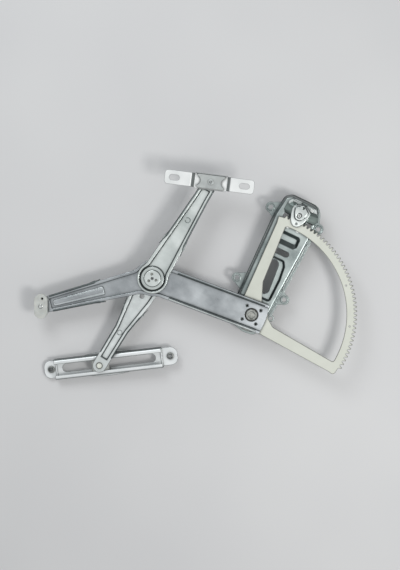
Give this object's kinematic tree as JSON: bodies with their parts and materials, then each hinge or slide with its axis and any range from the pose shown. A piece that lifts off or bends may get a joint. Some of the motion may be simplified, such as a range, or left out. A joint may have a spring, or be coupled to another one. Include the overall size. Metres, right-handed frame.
{
  "type": "window regulator",
  "caption": "Hand-cranked cross-arm window regulator: toothed sector and pinion swing two pressed arms that raise a glass bracket and slide in a guide rail.",
  "frame": {"origin": "centre of the base plate's four-bolt rectangle, on the face that meets the door panel", "axes": "+Z from the door panel towards the glass; +Y along the base plate from the sector pivot towards the pinion; +X to the right seen from the glass side"},
  "size_m": [0.4597, 0.4124, 0.068],
  "materials": {
    "galvanised_sheet": "zinc-plated pressed steel, bluish grey, fine spangle",
    "sector_steel": "zinc-plated blanked steel with a warm, nearly matt surface",
    "bright_steel": "bright zinc-plated turned and cold-headed parts",
    "dark_steel": "phosphated steel, dark grey",
    "nylon": "natural moulded nylon, slightly translucent white",
    "grey_plastic": "grey moulded acetal",
    "sintered_bronze": "oil-filled sintered bronze"
  },
  "bodies": {
    "base": {"base_plate": "galvanised_sheet", "pinion_bridge": "galvanised_sheet", "bridge_rivets": "bright_steel", "brake_drum": "galvanised_sheet", "drum_rivets": "bright_steel", "drum_cover": "galvanised_sheet", "sector_pivot_stud": "bright_steel", "pivot_washer": "nylon"},
    "drive": {"pinion_gear": "dark_steel", "output_driver": "dark_steel", "crank_spindle": "bright_steel", "brake_spring": "dark_steel"},
    "lift_arm": {"sector_gear": "sector_steel", "main_arm": "galvanised_sheet", "arm_rivets": "dark_steel", "pivot_bush": "sintered_bronze", "lift_pin": "bright_steel"},
    "cross_arm": {"upper_cross_arm": "galvanised_sheet", "lower_cross_arm": "galvanised_sheet", "cross_hub": "galvanised_sheet", "hub_cap": "galvanised_sheet", "hub_rivets": "bright_steel", "bracket_pin": "bright_steel", "guide_pin": "bright_steel"},
    "lift_slider": {"lift_slider": "nylon"},
    "guide_slider": {"guide_slider": "nylon"},
    "guide_rail": {"guide_rail": "galvanised_sheet", "rail_nuts": "bright_steel"},
    "glass_bracket": {"glass_bracket": "galvanised_sheet", "bracket_insert": "grey_plastic"}
  },
  "joints": [
    {"name": "sector_swing", "type": "hinge", "parent": "base", "child": "lift_arm", "pos_m": [0.004, -0.098, 0.018], "axis": [0, 0, 1], "range_deg": [0, 88]},
    {"name": "pinion_spin", "type": "hinge", "parent": "base", "child": "drive", "pos_m": [0.004, 0.06499, 0.018], "axis": [0, 0, 1], "range_deg": [-1684, 1]},
    {"name": "cross_pivot", "type": "hinge", "parent": "lift_arm", "child": "cross_arm", "pos_m": [-0.15239, -0.11182, 0.02], "axis": [0, 0, 1], "range_deg": [-177, 1]},
    {"name": "lift_slider_pivot", "type": "hinge", "parent": "lift_arm", "child": "lift_slider", "pos_m": [-0.28569, -0.22209, 0.028], "axis": [0, 0, 1], "range_deg": [-89, 1]},
    {"name": "bracket_pivot", "type": "hinge", "parent": "cross_arm", "child": "glass_bracket", "pos_m": [-0.13464, 0.05423, 0.033], "axis": [0, 0, 1], "range_deg": [-1, 89]},
    {"name": "guide_pivot", "type": "hinge", "parent": "cross_arm", "child": "guide_slider", "pos_m": [-0.16935, -0.2679, 0.008], "axis": [0, 0, 1], "range_deg": [-1, 89]},
    {"name": "rail_slide", "type": "slide", "parent": "guide_slider", "child": "guide_rail", "axis": [0.8443, 0.5358, 0], "range_m": [-0.078, 0.046]}
  ],
  "couplings": [
    {"joint": "pinion_spin", "follows": "sector_swing", "ratio": -19.125},
    {"joint": "cross_pivot", "follows": "sector_swing", "ratio": -2},
    {"joint": "lift_slider_pivot", "follows": "sector_swing", "ratio": -1},
    {"joint": "bracket_pivot", "follows": "sector_swing", "ratio": 1},
    {"joint": "guide_pivot", "follows": "sector_swing", "ratio": 1}
  ]
}
